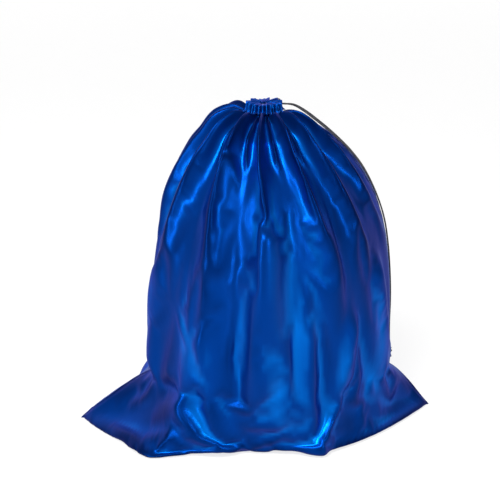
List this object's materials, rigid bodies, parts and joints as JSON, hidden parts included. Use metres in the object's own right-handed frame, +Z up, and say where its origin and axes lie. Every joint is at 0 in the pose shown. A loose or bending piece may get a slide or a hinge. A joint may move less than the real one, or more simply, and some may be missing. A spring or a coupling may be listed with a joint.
{
  "type": "sack race bag",
  "caption": "Drawstring jumping sack of coated nylon, cinched shut and standing full, with a sliding cord lock on its gathered mouth.",
  "frame": {"origin": "on the resting surface, under the middle of the sack", "axes": "+Z up, +X along the width to the side with the cord's tails, -Y out of the front panel"},
  "size_m": [0.6772, 0.411, 0.6075],
  "materials": {
    "sack_fabric": "satin coated nylon",
    "seam_fabric": "satin coated nylon",
    "thread": "twisted polyester thread",
    "cord": "braided cord",
    "lock_plastic": "moulded, slightly worn",
    "plunger_plastic": "moulded, polished dome",
    "spring_steel": "bright wire"
  },
  "bodies": {
    "sack": {"front_panel": "sack_fabric", "back_panel": "sack_fabric", "front_casing": "sack_fabric", "back_casing": "sack_fabric", "left_side_seam": "seam_fabric", "right_side_seam": "seam_fabric", "bottom_seam": "seam_fabric", "left_seam_thread": "thread", "right_seam_thread": "thread", "bottom_seam_thread": "thread", "casing_thread": "thread", "exit_bar_tacks": "thread", "drawstring_loop": "cord", "front_tail": "cord", "back_tail": "cord", "tail_knot": "cord"},
    "cord_lock": {"lock_barrel": "lock_plastic", "lock_spring": "spring_steel"},
    "plunger": {"lock_plunger": "plunger_plastic"}
  },
  "joints": [
    {"name": "lock_slide", "type": "slide", "parent": "sack", "child": "cord_lock", "axis": [0.6287, 0.7493, -0.2079], "range_m": [0, 0.02]},
    {"name": "plunger_press", "type": "slide", "parent": "cord_lock", "child": "plunger", "axis": [-0.1336, -0.1593, -0.9781], "range_m": [0, 0.0025], "stiffness_N_per_m": 1200, "springref_m": -0.001, "deforming": ["lock_spring"]}
  ]
}
